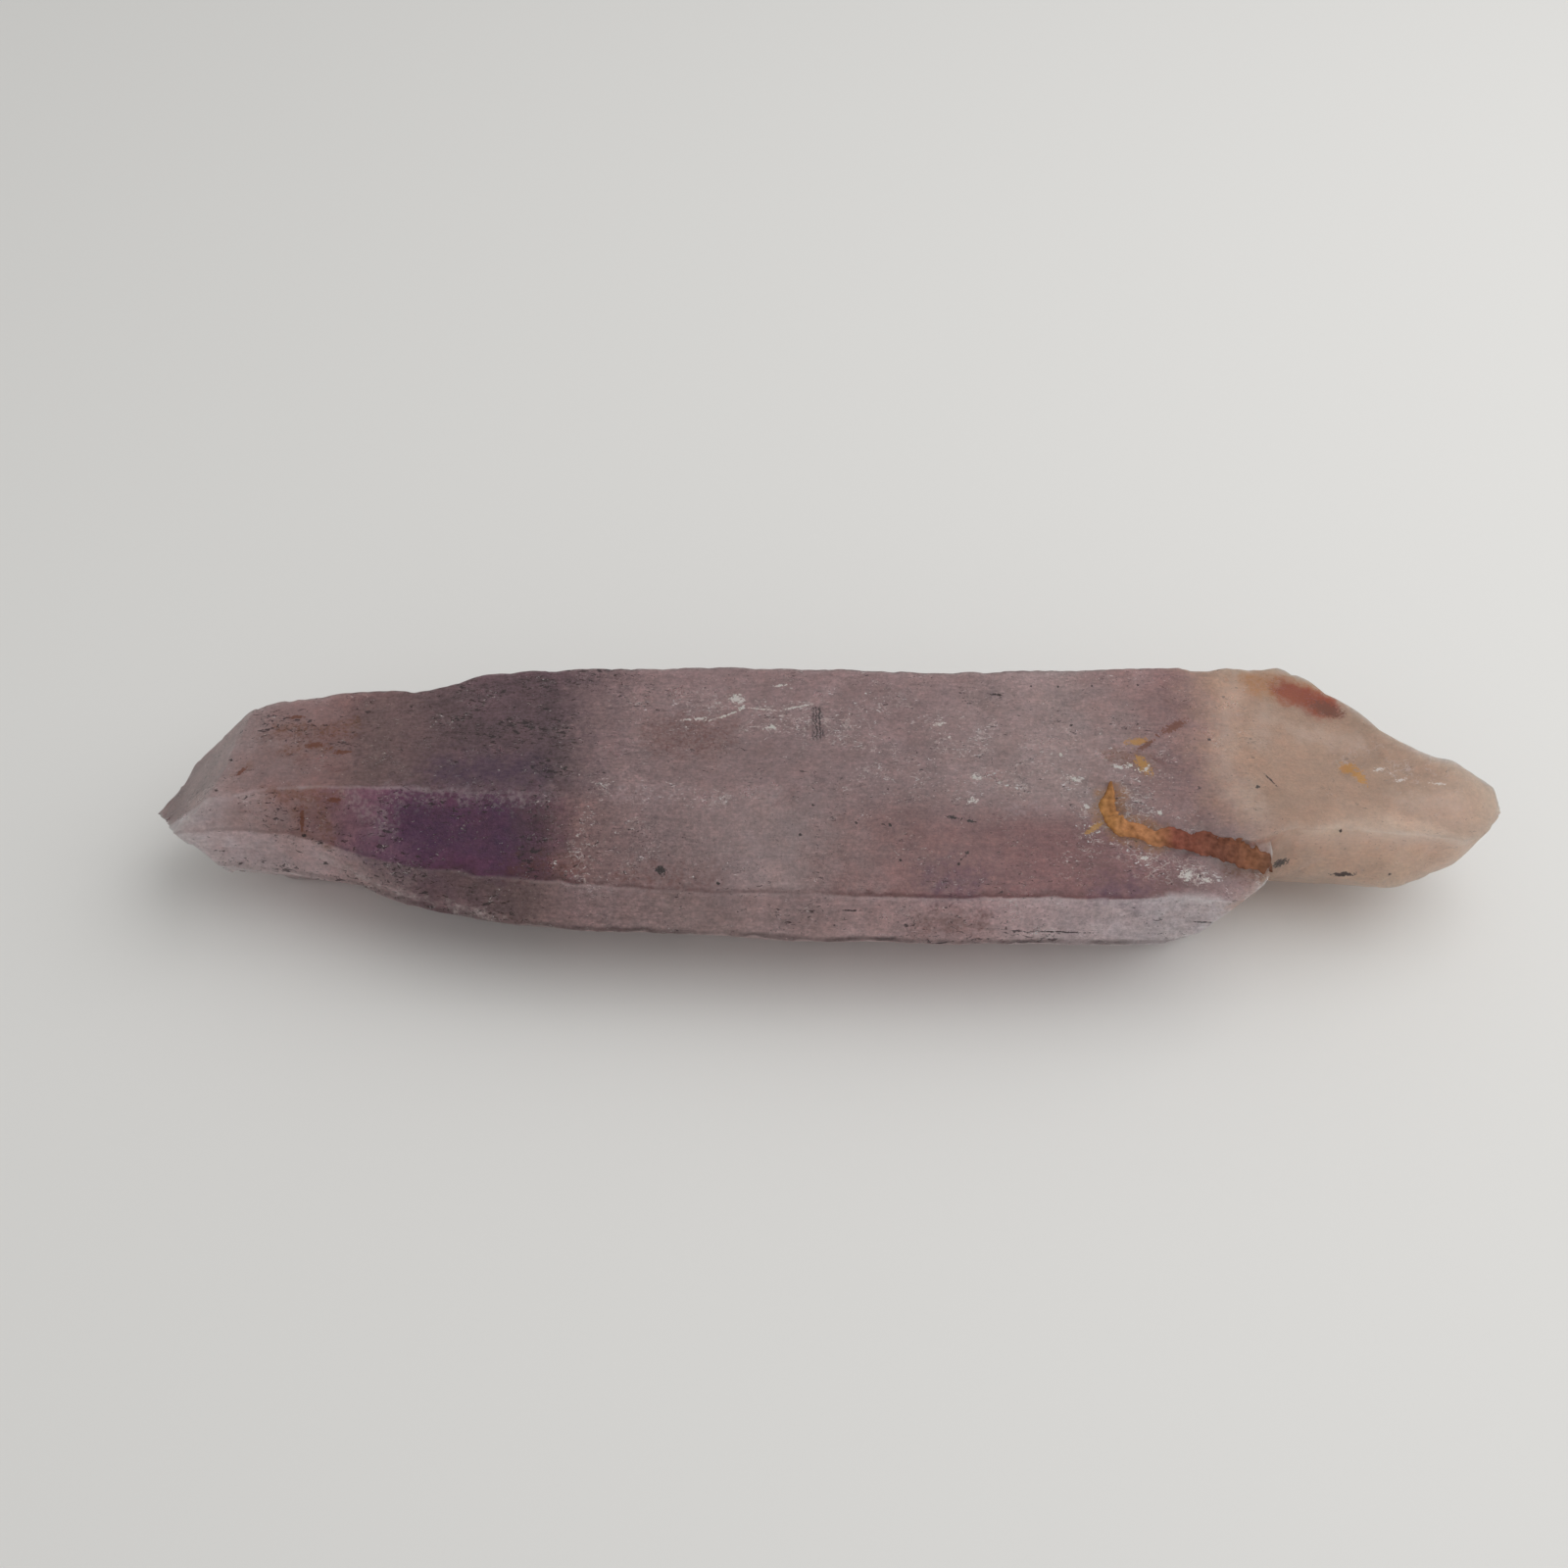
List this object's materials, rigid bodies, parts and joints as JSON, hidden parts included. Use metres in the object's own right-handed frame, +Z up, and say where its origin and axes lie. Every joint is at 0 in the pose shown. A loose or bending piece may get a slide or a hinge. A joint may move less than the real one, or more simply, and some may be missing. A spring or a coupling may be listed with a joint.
{
  "type": "raw amethyst crystal",
  "caption": "Long raw quartz crystal lying on a flat face, amethyst with a six-sided point at one end, grown into a milky quartz base with a broken end.",
  "frame": {"origin": "middle of the bounding box's underside, on the surface that the crystal rests on", "axes": "+X along the crystal from the point to the broken base, +Y to the back, +Z up"},
  "size_m": [0.0784, 0.0184, 0.0103],
  "materials": {
    "amethyst_quartz": "satin"
  },
  "bodies": {
    "root": {"amethyst_crystal": "amethyst_quartz"}
  },
  "joints": []
}
